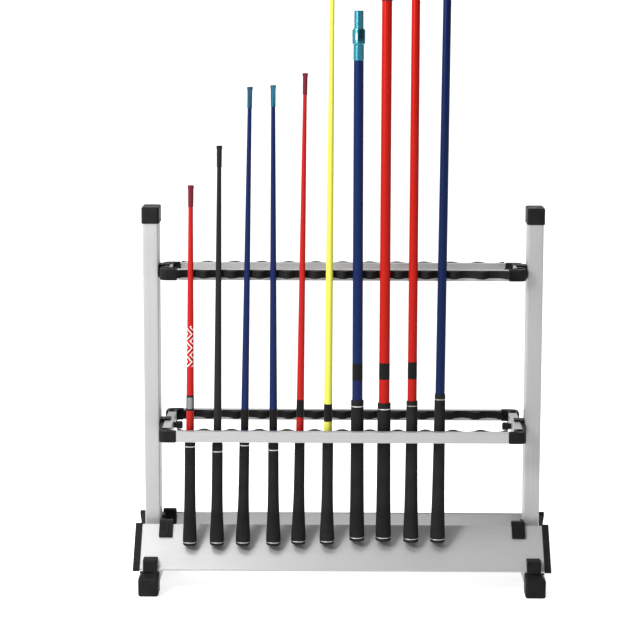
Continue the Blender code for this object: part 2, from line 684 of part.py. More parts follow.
def add_rods(materials):
    for number, data in enumerate(RODS):
        colour, top = data[0], data[4]
        start, direction = rod_axis(number, data)
        length = (top - start.z) / direction.z
        profile = rod_profile(length, *data[5:])
        solid = turned("Z", profile, ROUND_STEPS)
        item = add(f"rod_{number + 1:02d}_{colour}", solid, materials[f"rod_{colour}"])
        item.location = start
        item.rotation_euler = Vector((0, 0, 1)).rotation_difference(direction).to_euler()


def build():
    clear_scene()
    materials = make_materials()
    aluminium, plastic = materials["aluminium"], materials["black_plastic"]
    add_pair("post", post, aluminium)
    add_pair("post_cap", post_cap, plastic)
    add_pair("post_anchor", post_anchor, materials["steel"])
    add_pair("foot_bar", foot_bar, aluminium)
    add_at_corners("boot", boot, plastic)
    for side_y in (-1, 1):
        add(f"tray_{side_name(0, side_y)}", mirrored(tray(), 1, side_y), aluminium)
    add_at_corners("tray_end_cap", tray_end_cap, plastic)
    add_at_corners("tray_clip", tray_clip, plastic, CLIP_CORNERS)
    add_ring(LOWER_RING, materials)
    add_ring(UPPER_RING, materials)
    add_rods(materials)


build()
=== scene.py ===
"""The looks of a two-sided aluminium rack that holds ten telescopic fishing rods.

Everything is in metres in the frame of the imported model: X along the rack, Y from front to back, Z up.
Pieces of the rack are drawn in world coordinates. Pieces of a rod are drawn upright, from the middle
of its butt, and then placed on the rod's axis.
"""

import json
import math

import bmesh
import bpy
from mathutils import Matrix, Vector


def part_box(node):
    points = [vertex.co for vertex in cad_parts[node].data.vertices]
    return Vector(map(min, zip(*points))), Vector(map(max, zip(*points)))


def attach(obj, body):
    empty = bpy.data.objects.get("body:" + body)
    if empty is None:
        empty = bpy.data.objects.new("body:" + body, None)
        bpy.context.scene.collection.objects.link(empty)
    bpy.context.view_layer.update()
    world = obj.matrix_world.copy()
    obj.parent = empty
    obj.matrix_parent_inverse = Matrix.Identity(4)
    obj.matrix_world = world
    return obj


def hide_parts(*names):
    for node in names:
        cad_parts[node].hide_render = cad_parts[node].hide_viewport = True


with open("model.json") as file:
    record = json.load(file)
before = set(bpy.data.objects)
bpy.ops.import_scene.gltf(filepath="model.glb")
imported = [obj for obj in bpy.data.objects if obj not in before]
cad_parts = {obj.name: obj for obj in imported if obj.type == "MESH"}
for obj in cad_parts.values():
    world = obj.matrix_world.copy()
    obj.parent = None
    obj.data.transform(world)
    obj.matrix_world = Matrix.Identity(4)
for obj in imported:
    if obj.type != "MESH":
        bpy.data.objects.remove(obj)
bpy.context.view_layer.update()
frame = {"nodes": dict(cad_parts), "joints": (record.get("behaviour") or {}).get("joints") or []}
NODES = frame["nodes"]

RACK = "rack"
SMOOTH_ANGLE = math.radians(32)
EDGE_ANGLE = math.radians(28)       # edges sharper than this are rounded
FLAT_ANGLE = math.radians(0.5)      # faces flatter than this are one face
WELD = 1e-6
THROUGH = 0.002                     # how far a cutting tool stands out of what it cuts
FIT = 0.0003                        # clearance round what goes into a pocket

# Camera and light
CAMERA_PLACE = (-0.001, -4.0, 1.153)
CAMERA_TURN, CAMERA_TILT, CAMERA_ROLL = 0.583, 81.506, 0.12     # in degrees
CAMERA_LENS, CAMERA_SENSOR = 124.57, 36.0                       # in millimetres
CAMERA_SHIFT = -0.06
CAMERA_REACH = 200.0
FLOOR_SIZE, FLOOR_THICKNESS = 120.0, 0.02
FLOOR_GLOW = 0.66
WORLD_BRIGHT_SIDE = Vector((-0.58, 0.72, 0.35)).normalized()    # towards the bright side of the studio
WORLD_DARK, WORLD_BRIGHT = 0.08, 1.15
WORLD_FADE = 0.7                                                # cosine at which the fade ends, on both sides
LIGHTS = (
    # name, place, point lit, size, power
    ("key", (-1.25, -1.45, 1.45), (-0.25, 0.0, 0.35), 0.5, 40.0),
    ("top", (-1.0, -0.75, 2.3), (-0.1, -0.05, 0.10), 0.8, 24.0),
)


# Solids

def point_on(axis, position, pair):
    """A 3-D point from a position along one axis and the two other coordinates."""
    point = list(pair)
    point.insert("XYZ".index(axis), position)
    return point


def skinned(rings, closed=False):
    """A solid through rings with the same number of points. Its ends are closed, or joined together."""
    solid = bmesh.new()
    loops = [[solid.verts.new(point) for point in ring] for ring in rings]
    followers = loops[1:] + loops[:1] if closed else loops[1:]
    for near, far in zip(loops, followers):
        for index in range(len(near)):
            after = (index + 1) % len(near)
            solid.faces.new((near[index], near[after], far[after], far[index]))
    if not closed:
        solid.faces.new(loops[0])
        solid.faces.new(loops[-1])
    bmesh.ops.recalc_face_normals(solid, faces=solid.faces)
    return solid


def prism(axis, start, end, outline):
    """A solid extruded along an axis. The outline's points are pairs of the two other coordinates."""
    return skinned([[point_on(axis, place, pair) for pair in outline] for place in (start, end)])


def rectangle(left, right, bottom, top):
    return [(left, bottom), (right, bottom), (right, top), (left, top)]


def box(low, high):
    return prism("Z", low[2], high[2], rectangle(low[0], high[0], low[1], high[1]))


def arc(centre, radius, start, end, steps):
    """Points on an arc from one angle to another, in degrees, both ends included."""
    points = []
    for step in range(steps + 1):
        angle = math.radians(start + (end - start) * step / steps)
        points.append((centre[0] + radius * math.cos(angle), centre[1] + radius * math.sin(angle)))
    return points


def rounded_rectangle(low, high, radius, steps=6):
    left, right = low[0] + radius, high[0] - radius
    bottom, top = low[1] + radius, high[1] - radius
    points = []
    for number, corner in enumerate(((right, top), (left, top), (left, bottom), (right, bottom))):
        points += arc(corner, radius, 90 * number, 90 * number + 90, steps)
    return points


def turned(profile, steps, reach=None):
    """A solid of revolution about Z from (height, radius) pairs. reach(angle) scales the radius."""
    rings = []
    for height, radius in profile:
        ring = []
        for step in range(steps):
            angle = 2 * math.pi * step / steps
            scale = reach(angle) if reach else 1.0
            ring.append((radius * scale * math.cos(angle), radius * scale * math.sin(angle), height))
        rings.append(ring)
    return skinned(rings)


def moved(solid, offset):
    bmesh.ops.translate(solid, verts=solid.verts, vec=offset)
    return solid


def mirrored(solid, side_x, side_y=1):
    """The solid in the quarter given by the two signs. It is drawn where X and Y are positive."""
    bmesh.ops.scale(solid, verts=solid.verts, vec=(side_x, side_y, 1))
    bmesh.ops.recalc_face_normals(solid, faces=solid.faces)
    return solid


def combined(first, second, operation):
    """The union or difference of two solids, by Blender's exact Boolean."""
    objects = []
    for label, solid in (("base", first), ("tool", second)):
        mesh = bpy.data.meshes.new(label)
        solid.to_mesh(mesh)
        solid.free()
        item = bpy.data.objects.new(label, mesh)
        bpy.context.scene.collection.objects.link(item)
        objects.append(item)
    base, tool = objects
    modifier = base.modifiers.new("combine", "BOOLEAN")
    modifier.operation = operation
    modifier.solver = "EXACT"
    modifier.object = tool
    result = bmesh.new()
    result.from_object(base, bpy.context.evaluated_depsgraph_get())
    for item in objects:
        mesh = item.data
        bpy.data.objects.remove(item, do_unlink=True)
        bpy.data.meshes.remove(mesh)
    return result


def union(first, second):
    return combined(first, second, "UNION")


def cut(first, second):
    return combined(first, second, "DIFFERENCE")


def rounded(solid, width, segments=2, where=None):
    """Round the solid's outer edges, or those of them whose middle passes a test."""
    edges = []
    for edge in solid.edges:
        middle = (edge.verts[0].co + edge.verts[1].co) / 2
        if edge.is_convex and edge.calc_face_angle() > EDGE_ANGLE and (where is None or where(middle)):
            edges.append(edge)
    bmesh.ops.bevel(
        solid, geom=edges, offset=width, segments=segments, profile=0.5, affect="EDGES", clamp_overlap=True
    )
    return solid


def welded(node):
    """A CAD node's solid, with its seams closed and its flat faces whole again."""
    solid = bmesh.new()
    solid.from_mesh(NODES[node].data)
    bmesh.ops.remove_doubles(solid, verts=solid.verts, dist=WELD)
    bmesh.ops.dissolve_limit(solid, angle_limit=FLAT_ANGLE, verts=solid.verts, edges=solid.edges)
    return solid


def make_object(name, solid, finish, flat=False):
    """An object with the solid as its mesh. flat keeps large faces flat where they meet rounded edges."""
    mesh = bpy.data.meshes.new(name)
    solid.to_mesh(mesh)
    solid.free()
    mesh.shade_smooth()
    mesh.set_sharp_from_angle(angle=SMOOTH_ANGLE)
    mesh.materials.append(finish)
    item = bpy.data.objects.new(name, mesh)
    bpy.context.scene.collection.objects.link(item)
    if flat:
        weighted = item.modifiers.new("flat_faces", "WEIGHTED_NORMAL")
        weighted.keep_sharp = True
    return item


def add(name, solid, finish, node=None, body=RACK):
    """A piece of the rack, which may stand for a CAD node."""
    item = make_object(name, solid, finish, flat=True)
    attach(item, body)
    if node:
        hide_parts(node)
    return item


# Finishes

class Finish:
    """A material being made: its nodes and its Principled shader."""

    def __init__(self, name, **sockets):
        self.material = bpy.data.materials.new(name)
        self.material.use_nodes = True
        self.graph = self.material.node_tree
        self.shader = self.graph.nodes["Principled BSDF"]
        for socket, value in sockets.items():
            self.set(socket.replace("_", " "), value)

    def set(self, socket, value):
        self.join(self.shader.inputs[socket], value)

    def join(self, socket, value):
        if isinstance(value, bpy.types.NodeSocket):
            self.graph.links.new(value, socket)
        else:
            socket.default_value = value

    def node(self, kind, inputs, output=0, **settings):
        """A new node's output. inputs maps the names or numbers of its inputs to values or sockets."""
        made = self.graph.nodes.new(kind)
        for setting, value in settings.items():
            setattr(made, setting, value)
        for key, value in inputs.items():
            self.join(made.inputs[key], value)
        return made.outputs[output]

    def place(self, stretch=(1, 1, 1)):
        """The object's own coordinates, scaled."""
        where = self.node("ShaderNodeTexCoord", {}, "Object")
        return self.node("ShaderNodeMapping", {"Vector": where, "Scale": stretch})

    def noise(self, scale, detail=2.0, stretch=(1, 1, 1)):
        inputs = {"Vector": self.place(stretch), "Scale": scale, "Detail": detail}
        return self.node("ShaderNodeTexNoise", inputs, "Fac")

    def math(self, operation, *values):
        inputs = dict(enumerate(values))
        return self.node("ShaderNodeMath", inputs, operation=operation)

    def span(self, value, low, high, start=0.3, end=0.7):
        """A value mapped from start..end to low..high."""
        inputs = {"Value": value, "From Min": start, "From Max": end, "To Min": low, "To Max": high}
        return self.node("ShaderNodeMapRange", inputs)

    def blend(self, share, first, second):
        mix = self.graph.nodes.new("ShaderNodeMix")
        mix.data_type = "RGBA"
        self.join(mix.inputs["Factor"], share)
        for name, value in (("A", first), ("B", second)):
            socket = [found for found in mix.inputs if found.name == name and found.type == "RGBA"][0]
            self.join(socket, value if isinstance(value, bpy.types.NodeSocket) else (*value, 1.0))
        return [found for found in mix.outputs if found.type == "RGBA"][0]

    def bump(self, height, distance, strength=1.0):
        normal = {"Height": height, "Distance": distance, "Strength": strength}
        self.set("Normal", self.node("ShaderNodeBump", normal))


ALUMINIUM_DARK, ALUMINIUM_PALE = (0.36, 0.36, 0.36), (0.39, 0.39, 0.39)
LINES_ALONG, LINES_ACROSS = 6.0, 900.0      # how fast the extrusion's lines vary
FLAKES = 1800.0                             # how fine the flakes in the lacquer are
WINDING = (30.0, 30.0, 420.0)               # how fast a blank varies across and along itself


def aluminium(name, along):
    """Satin anodised aluminium, with the fine lines of its extrusion along one axis."""
    finish = Finish(name, Metallic=0.45)
    stretch = [LINES_ACROSS] * 3
    stretch["XYZ".index(along)] = LINES_ALONG
    lines = finish.noise(1.0, 3.0, stretch)
    cloud = finish.noise(14.0, 2.0)
    finish.set("Base Color", finish.blend(finish.span(lines, 0.0, 1.0), ALUMINIUM_DARK, ALUMINIUM_PALE))
    finish.set("Roughness", finish.span(cloud, 0.40, 0.50))
    finish.bump(lines, 0.000012)
    return finish.material


def moulded(name, colour, roughness, grain, depth):
    """Black moulded plastic or rubber with a fine grain and slightly uneven gloss."""
    finish = Finish(name, Specular_IOR_Level=0.07)
    fine = finish.noise(grain, 3.0)
    cloud = finish.noise(45.0, 3.0)
    paler = tuple(channel * 1.5 + 0.002 for channel in colour)
    finish.set("Base Color", finish.blend(finish.span(cloud, 0.0, 1.0), colour, paler))
    finish.set("Roughness", finish.span(cloud, roughness - 0.08, roughness + 0.10))
    finish.bump(fine, depth)
    return finish.material


def lacquer(name, colour, metallic=0.0):
    """A lacquered blank: even colour with faint flakes and windings, under a clear coat."""
    finish = Finish(
        name, Metallic=metallic, Specular_IOR_Level=0.06, Coat_Weight=0.10, Coat_Roughness=0.1
    )
    flakes = finish.noise(FLAKES, 1.0)
    winding = finish.noise(1.0, 2.0, WINDING)
    darker = tuple(channel * 0.82 for channel in colour)
    finish.set("Base Color", finish.blend(finish.span(flakes, 0.0, 1.0), darker, colour))
    finish.set("Roughness", finish.span(winding, 0.28, 0.40))
    finish.bump(winding, 0.00004)
    return finish.material


def turned_metal(name, colour, roughness):
    """Bright turned metal with fine tool marks round its axis."""
    finish = Finish(name, Metallic=1.0)
    marks = finish.noise(1.0, 2.0, (20.0, 20.0, 2600.0))
    darker = tuple(channel * 0.86 for channel in colour)
    finish.set("Base Color", finish.blend(finish.span(marks, 0.0, 1.0), darker, colour))
    finish.set("Roughness", finish.span(marks, roughness * 0.8, roughness * 1.25))
    finish.bump(marks, 0.00003)
    return finish.material


# The zigzag on the first rod: its lowest and highest point, the height of one zigzag, the distance
# between its lines, how far they swing in line distances, and half a line's share of that distance
MARKS_START, MARKS_END = 0.328, 0.402
MARKS_PERIOD, MARKS_SPACING, MARKS_SWING, MARKS_THICKNESS = 0.0250, 0.0085, 1.4, 0.14
MARKS_COLOUR, MARKS_STRENGTH = (0.85, 0.80, 0.78), 0.85


def rod_marks(name, colour):
    """Red lacquer with a pale zigzag on its front."""
    finish = Finish(
        name, Roughness=0.32, Specular_IOR_Level=0.06, Coat_Weight=0.10, Coat_Roughness=0.1
    )
    where = finish.node("ShaderNodeTexCoord", {}, "Object")
    parts = finish.graph.nodes.new("ShaderNodeSeparateXYZ")
    finish.join(parts.inputs[0], where)
    across, height = parts.outputs["X"], parts.outputs["Z"]
    front = finish.math("LESS_THAN", parts.outputs["Y"], 0.0)
    wave = finish.math("PINGPONG", finish.math("DIVIDE", height, MARKS_PERIOD / 2), 1.0)
    swing = finish.math("MULTIPLY", wave, MARKS_SWING)
    offset = finish.math("SUBTRACT", finish.math("DIVIDE", across, MARKS_SPACING), swing)
    line = finish.math("LESS_THAN", finish.math("PINGPONG", offset, 0.5), MARKS_THICKNESS)
    middle, half = (MARKS_START + MARKS_END) / 2, (MARKS_END - MARKS_START) / 2
    inside = finish.math("COMPARE", height, middle, half)
    shown = finish.math("MULTIPLY", finish.math("MULTIPLY", line, inside), front)
    flakes = finish.noise(FLAKES, 1.0)
    darker = tuple(channel * 0.85 for channel in colour)
    base = finish.blend(finish.span(flakes, 0.0, 1.0), darker, colour)
    marked = finish.blend(finish.math("MULTIPLY", shown, MARKS_STRENGTH), base, MARKS_COLOUR)
    finish.set("Base Color", marked)
    finish.bump(finish.noise(1.0, 2.0, WINDING), 0.00004)
    return finish.material


def grip_rubber(name):
    """Matt black rubber that is paler where it is worn."""
    finish = Finish(name, Specular_IOR_Level=0.08)
    fine = finish.noise(2400.0, 3.0)
    wear = finish.noise(26.0, 4.0)
    fresh, worn = (0.009, 0.009, 0.009), (0.018, 0.017, 0.017)
    finish.set("Base Color", finish.blend(finish.span(wear, 0.0, 1.0), fresh, worn))
    finish.set("Roughness", finish.span(wear, 0.62, 0.82))
    finish.bump(fine, 0.00012)
    return finish.material


def pale_floor():
    finish = Finish("floor", Base_Color=(0.75, 0.75, 0.75, 1.0))
    finish.set("Emission Color", (1.0, 1.0, 1.0, 1.0))
    finish.set("Emission Strength", FLOOR_GLOW)
    finish.set("Roughness", finish.span(finish.noise(3.0), 0.85, 0.95))
    return finish.material


# The rack's aluminium

ALONG = {"X": ("tray_", "_rail_"), "Y": ("_end_bar_", "foot_bar_"), "Z": ("post_left", "post_right")}
METAL_EDGE = 0.0005


def add_aluminium():
    """Every extrusion again, with its edges rounded."""
    for axis, names in ALONG.items():
        finish = aluminium(f"aluminium_along_{axis.lower()}", axis)
        for node in sorted(NODES):
            metal = any(name in node for name in names) and "cap" not in node and "clip" not in node
            if metal:
                solid = rounded(welded(node), METAL_EDGE, 2)
                add(f"{node}_extrusion", solid, finish, node)


# The rubber strips

NOTCHES, PITCH, NOTCH_RADIUS, STRIP_FLOOR = 12, 0.050, 0.0185, 0.0025
STRIP_EDGE, STRIP_END = 0.0011, 0.001      # width of the rounding, and of the step at the strip's ends
NOTCH_STEPS, PEAK_STEPS = 14, 8


def strip_outline(half_length, depth):
    """Round notches and round peaks that touch them, from the face of the rail outward."""
    half_pitch = PITCH / 2
    notch_height = STRIP_FLOOR + NOTCH_RADIUS
    rise = notch_height - depth
    peak_radius = (half_pitch ** 2 + rise ** 2 - NOTCH_RADIUS ** 2) / (2 * (NOTCH_RADIUS - rise))
    peak_height = depth - peak_radius
    touch = math.degrees(math.atan2(notch_height - peak_height, half_pitch))
    wave = []
    for index in range(NOTCHES):
        centre = (index - (NOTCHES - 1) / 2) * PITCH
        wave += arc((centre, notch_height), NOTCH_RADIUS, 180 + touch, 360 - touch, NOTCH_STEPS)
        if index < NOTCHES - 1:
            wave += arc((centre + half_pitch, peak_height), peak_radius, 180 - touch, touch, PEAK_STEPS)[1:-1]
    end = depth - STRIP_END
    return [(-half_length, 0.0), (-half_length, end)] + wave + [(half_length, end), (half_length, 0.0)]


def add_strips(rubber):
    for node in sorted(name for name in NODES if "notched_strip" in name):
        low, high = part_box(node)
        rail_low, rail_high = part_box(node.replace("notched_strip", "rail"))
        depth = high.y - low.y
        outward = 1 if (low.y + high.y) / 2 > (rail_low.y + rail_high.y) / 2 else -1
        start = low.y if outward > 0 else high.y
        plan = [(x, start + outward * height) for x, height in strip_outline(high.x, depth)]
        solid = prism("Z", low.z, high.z, plan)
        rims = [edge for edge in solid.edges if edge.verts[0].co.z == edge.verts[1].co.z]
        bmesh.ops.bevel(solid, geom=rims, offset=STRIP_EDGE, segments=3, profile=0.5, affect="EDGES")
        add(f"{node}_rubber", solid, rubber, node)


# Moulded pieces

def quarter(node):
    """The signs of the quarter that a node is in."""
    low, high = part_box(node)
    middle = (low + high) / 2
    return (1 if middle.x > 0 else -1), (1 if middle.y > 0 else -1)


def quarter_box(node):
    """A node's box, mirrored to where X and Y are positive."""
    low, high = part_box(node)
    side_x, side_y = quarter(node)
    xs = sorted((low.x * side_x, high.x * side_x))
    ys = sorted((low.y * side_y, high.y * side_y))
    return Vector((xs[0], ys[0], low.z)), Vector((xs[1], ys[1], high.z))


CAP_RADIUS, CAP_TOP_RADIUS, CAP_SMALLEST_RADIUS = 0.0052, 0.0026, 0.0008
CAP_RIM, CAP_STEP, CAP_SLOPE = 0.0030, 0.0003, 0.0004              # the rim's height, depth and upper slope
CAP_FOOT = ((0.0, 0.0012), (0.0004, 0.0004), (0.0012, 0.0))        # height and inset of the eased foot
CAP_PANEL = ((0.0, 0.0050), (0.0005, 0.0056))                      # depth and inset of the sunk panel
POST_RADIUS = 0.003


def add_post_caps(plastic):
    """Caps with a rim at the foot, a rounded top edge and a slightly sunk panel on top."""
    for side in ("left", "right"):
        node = f"post_cap_{side}"
        low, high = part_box(node)
        post_low, post_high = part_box(f"post_{side}")
        height = high.z - low.z
        levels = list(CAP_FOOT) + [(CAP_RIM, 0.0), (CAP_RIM + CAP_SLOPE, CAP_STEP)]
        for reach, rise in arc((0.0, 0.0), CAP_TOP_RADIUS, 0, 90, 5):
            inset = CAP_STEP + CAP_TOP_RADIUS - reach
            levels.append((height - CAP_TOP_RADIUS + rise, inset))
        levels += [(height - depth, inset) for depth, inset in CAP_PANEL]
        rings = []
        for level, inset in levels:
            corner = max(CAP_RADIUS - inset, CAP_SMALLEST_RADIUS)
            outline = rounded_rectangle(
                (low.x + inset, low.y + inset), (high.x - inset, high.y - inset), corner
            )
            rings.append([(x, y, low.z + level) for x, y in outline])
        pocket = rounded_rectangle(
            (post_low.x - FIT, post_low.y - FIT), (post_high.x + FIT, post_high.y + FIT), POST_RADIUS, 3
        )
        solid = cut(skinned(rings), prism("Z", low.z - THROUGH, post_high.z + FIT, pocket))
        add(f"{node}_moulding", solid, plastic, node)


# Boots are drawn in the quarter where X and Y are positive. These are heights and places along Y.
BOOT_TOP, BOOT_FACE, BOOT_BACK, BOOT_NECK_FRONT = 0.0395, 0.0325, 0.104, 0.1212
BOOT_NECK_HALF, BOOT_NECK_X = 0.01275, 0.3470
BOOT_EDGE = 0.0045
BOOT_SPARE = 0.010                  # extra length that is rounded and then cut off at the back
OUTER_SHOULDER = (0.0070, 0.0080)   # width and height of the slant
NECK_SUNK = 0.0004                  # how far the neck reaches into the sleeve
NECK_EDGE, NECK_EDGE_START = 0.0012, 0.001      # rounding, and how far over the sleeve it starts
NECK_LINE, NECK_LINE_DEPTH = (0.0578, 0.0586), 0.0007
VEE_HALF_WIDTH, VEE_LENGTH, VEE_START, VEE_DEPTH = 0.0080, 0.0165, -0.001, 0.0008


def boot_neck(node, low, high):
    """What stands over the sleeve, with its upper edges rounded."""
    below = box(
        (low.x - THROUGH, low.y - THROUGH, low.z - THROUGH),
        (high.x + THROUGH, high.y + THROUGH, BOOT_TOP - NECK_SUNK),
    )
    neck = cut(mirrored(welded(node), *quarter(node)), below)
    return rounded(neck, NECK_EDGE, 2, where=lambda point: point.z > BOOT_TOP + NECK_EDGE_START)


def boot_sleeve(low, high):
    """The rounded sleeve, with a slope to the front and a shoulder on the outer side."""
    behind = BOOT_BACK - BOOT_SPARE
    side = [
        (high.y, 0.0), (high.y, BOOT_FACE), (BOOT_NECK_FRONT, BOOT_TOP), (behind, BOOT_TOP), (behind, 0.0),
    ]
    sleeve = rounded(prism("X", low.x, high.x, side), BOOT_EDGE, 4)
    spare = box(
        (low.x - THROUGH, behind - THROUGH, low.z - THROUGH),
        (high.x + THROUGH, BOOT_BACK, BOOT_TOP + THROUGH),
    )
    sleeve = cut(sleeve, spare)
    across, down = OUTER_SHOULDER
    wedge = [
        (high.x + THROUGH, BOOT_TOP + THROUGH),
        (high.x + THROUGH, BOOT_TOP - down),
        (high.x, BOOT_TOP - down),
        (high.x - across, BOOT_TOP),
        (high.x - across, BOOT_TOP + THROUGH),
    ]
    return cut(sleeve, prism("Y", behind - THROUGH, high.y + THROUGH, wedge))


def boot_vee(low, high):
    """What is cut for the shallow V in the slope, from the neck down to its point."""
    middle = (low.x + high.x) / 2
    down = Vector((high.y - BOOT_NECK_FRONT, BOOT_FACE - BOOT_TOP)).normalized()
    square = Vector((-down.y, down.x))
    rings = []
    for above in (THROUGH, -VEE_DEPTH):
        ring = []
        for across, along in ((-VEE_HALF_WIDTH, VEE_START), (0.0, VEE_LENGTH), (VEE_HALF_WIDTH, VEE_START)):
            place = Vector((BOOT_NECK_FRONT, BOOT_TOP)) + down * along + square * above
            ring.append((middle + across, place.x, place.y))
        rings.append(ring)
    return skinned(rings)


def add_boots(plastic):
    """Sleeves on the foot bars' ends, each with the neck that holds a tray and a line round its top."""
    for node in sorted(name for name in NODES if name.startswith("boot_")):
        low, high = quarter_box(node)
        side_x, side_y = quarter(node)
        bar_low, bar_high = quarter_box(f"foot_bar_{'left' if side_x < 0 else 'right'}")
        pocket = box(
            (bar_low.x - FIT, BOOT_BACK - THROUGH, bar_low.z - FIT),
            (bar_high.x + FIT, bar_high.y + FIT, bar_high.z + FIT),
        )
        line = box(
            (BOOT_NECK_X - BOOT_NECK_HALF - THROUGH, BOOT_NECK_FRONT - NECK_LINE_DEPTH, NECK_LINE[0]),
            (BOOT_NECK_X + BOOT_NECK_HALF + THROUGH, BOOT_NECK_FRONT + THROUGH, NECK_LINE[1]),
        )
        solid = union(cut(boot_sleeve(low, high), pocket), boot_neck(node, low, high))
        solid = cut(cut(solid, boot_vee(low, high)), line)
        add(f"{node}_moulding", mirrored(solid, side_x, side_y), plastic, node)


def finish_anchors(steel):
    """The anchors keep their CAD solids and get a metal finish."""
    for node in ("post_anchor_left", "post_anchor_right"):
        for slot in NODES[node].material_slots:
            slot.material = steel


END_CAP_STRETCH = 1.15              # the strips reach further over the sheet than their CAD solids
END_CAP_EDGE = 0.0009


def add_end_caps(plastic):
    """The trays' end strips, stretched inward from their outer faces."""
    for node in sorted(name for name in NODES if name.startswith("tray_end_cap")):
        low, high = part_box(node)
        outer = low.x if low.x < 0 else high.x
        solid = moved(rounded(welded(node), END_CAP_EDGE, 3), (-outer, 0, 0))
        bmesh.ops.scale(solid, verts=solid.verts, vec=(END_CAP_STRETCH, 1, 1))
        add(f"{node}_strip", moved(solid, (outer, 0, 0)), plastic, node)


CLIP_RIBS, CLIP_RIB_DEPTH, CLIP_RIB_WIDTH = 6, 0.0006, 0.0012
CLIP_RIB_START, CLIP_RIB_END = 0.001, 0.0262    # down the tray's slope from its upper edge
CLIP_FACE = 0.0058                              # height of the clip's face over the tray's underside
CLIP_EDGE = 0.0007
TRAY_SLOPE = math.radians(44)
TRAY_EDGE = Vector((0.046, 0.1115))             # the upper edge, as a place along Y and a height


def add_clips(plastic):
    """Hooks over the trays' upper edges, with fine grooves down their faces."""
    down = Vector((math.cos(TRAY_SLOPE), -math.sin(TRAY_SLOPE)))
    square = Vector((math.sin(TRAY_SLOPE), math.cos(TRAY_SLOPE)))
    groove = []
    floor = CLIP_FACE - CLIP_RIB_DEPTH
    for along, above in rectangle(CLIP_RIB_START, CLIP_RIB_END, floor, floor + THROUGH):
        groove.append(tuple(TRAY_EDGE + down * along + square * above))
    for node in sorted(name for name in NODES if name.startswith("tray_clip")):
        low, high = quarter_box(node)
        side_x, side_y = quarter(node)
        solid = rounded(mirrored(welded(node), side_x, side_y), CLIP_EDGE, 2)
        for rib in range(CLIP_RIBS):
            centre = low.x + (high.x - low.x) * (rib + 1) / (CLIP_RIBS + 1)
            half = CLIP_RIB_WIDTH / 2
            solid = cut(solid, prism("X", centre - half, centre + half, groove))
        add(f"{node}_moulding", mirrored(solid, side_x, side_y), plastic, node)


CORNER_EDGE = 0.00055
CORNER_PANEL, CORNER_POCKET = 0.0005, 0.0022    # depths
CORNER_MARGIN = 0.0042                          # from a panel to the elbow's top and bottom
# Far and near end along X, and along Y, as distances inward from the outer corner
CORNER_PANELS = (
    ((0.0280, 0.0150), (CORNER_PANEL, -THROUGH)),
    ((CORNER_PANEL, -THROUGH), (0.0300, 0.0150)),
)
CORNER_POCKETS = (
    ((0.0290, 0.0150), (0.0105, 0.0040)),
    ((0.0155, 0.0060), (0.0300, 0.0160)),
)


def add_corners(plastic):
    """Elbows of the rings, with sunk panels on their outer faces and two pockets in their tops."""
    for node in sorted(name for name in NODES if "_corner_" in name):
        low, high = quarter_box(node)
        side_x, side_y = quarter(node)
        solid = rounded(mirrored(welded(node), side_x, side_y), CORNER_EDGE, 2)
        cuts = [(ends, low.z + CORNER_MARGIN, high.z - CORNER_MARGIN) for ends in CORNER_PANELS]
        cuts += [(ends, high.z - CORNER_POCKET, high.z + THROUGH) for ends in CORNER_POCKETS]
        for ((far_x, near_x), (far_y, near_y)), bottom, top in cuts:
            tool = box((high.x - far_x, high.y - far_y, bottom), (high.x - near_x, high.y - near_y, top))
            solid = cut(solid, tool)
        add(f"{node}_moulding", mirrored(solid, side_x, side_y), plastic, node)


BRACKET_EDGE = 0.0007


def add_brackets(plastic):
    for node in sorted(name for name in NODES if "_bracket_" in name):
        add(f"{node}_moulding", rounded(welded(node), BRACKET_EDGE, 2), plastic, node)


KNOB_LOBES, KNOB_LOBE_DEPTH, KNOB_STEPS = 6, 0.055, 72
# Distance from the knob's face, and share of its radius
KNOB_HEAD = (
    (0.0008, 0.45), (0.0, 0.62), (0.0004, 0.86), (0.0016, 0.98),
    (0.0030, 1.0), (0.0100, 1.0), (0.0114, 0.97), (0.0120, 0.88),
)
KNOB_COLLAR = ((0.0118, 0.0052), (0.0122, 0.0055), (0.0158, 0.0055), (0.0162, 0.0052))
COLLAR_STEPS, SCREW_STEPS = 40, 24
SCREW_START, SCREW_PITCH, SCREW_TURNS = 0.0164, 0.0010, 34
SCREW_ROOT, SCREW_CREST, SCREW_TIP, SCREW_LEAD = 0.0026, 0.0030, 0.0024, 0.0001


def knob_lobes(angle):
    return 1 - KNOB_LOBE_DEPTH + KNOB_LOBE_DEPTH * math.cos(KNOB_LOBES * angle)


def add_knobs(plastic, metal):
    """Lobed thumb knobs with a dished face, a collar and a threaded screw."""
    turn = Matrix.Rotation(math.radians(90), 3, "Y")
    for node in sorted(name for name in NODES if "thumb_knob" in name):
        low, high = quarter_box(node)
        side_x, _ = quarter(node)
        middle_z = (low.z + high.z) / 2
        radius = (high.z - low.z) / 2
        thread = [(SCREW_START - SCREW_LEAD, SCREW_ROOT)]
        for index in range(SCREW_TURNS):
            start = SCREW_START + index * SCREW_PITCH
            thread += [(start, SCREW_ROOT), (start + SCREW_PITCH / 2, SCREW_CREST)]
        thread += [(SCREW_START + SCREW_TURNS * SCREW_PITCH, SCREW_ROOT), (high.x - low.x, SCREW_TIP)]
        head = [(height, radius * share) for height, share in KNOB_HEAD]
        pieces = (
            ("head", turned(head, KNOB_STEPS, knob_lobes), plastic, "black_plastic"),
            ("collar", turned(KNOB_COLLAR, COLLAR_STEPS), plastic, "black_plastic"),
            ("screw", turned(thread, SCREW_STEPS), metal, "steel"),
        )
        for part, shape, finish, slot in pieces:
            bmesh.ops.rotate(shape, verts=shape.verts, cent=(0, 0, 0), matrix=turn)
            moved(shape, (low.x, 0, middle_z))
            add(f"{node}_{part}", mirrored(shape, side_x), finish, node, body=node)


# Rods

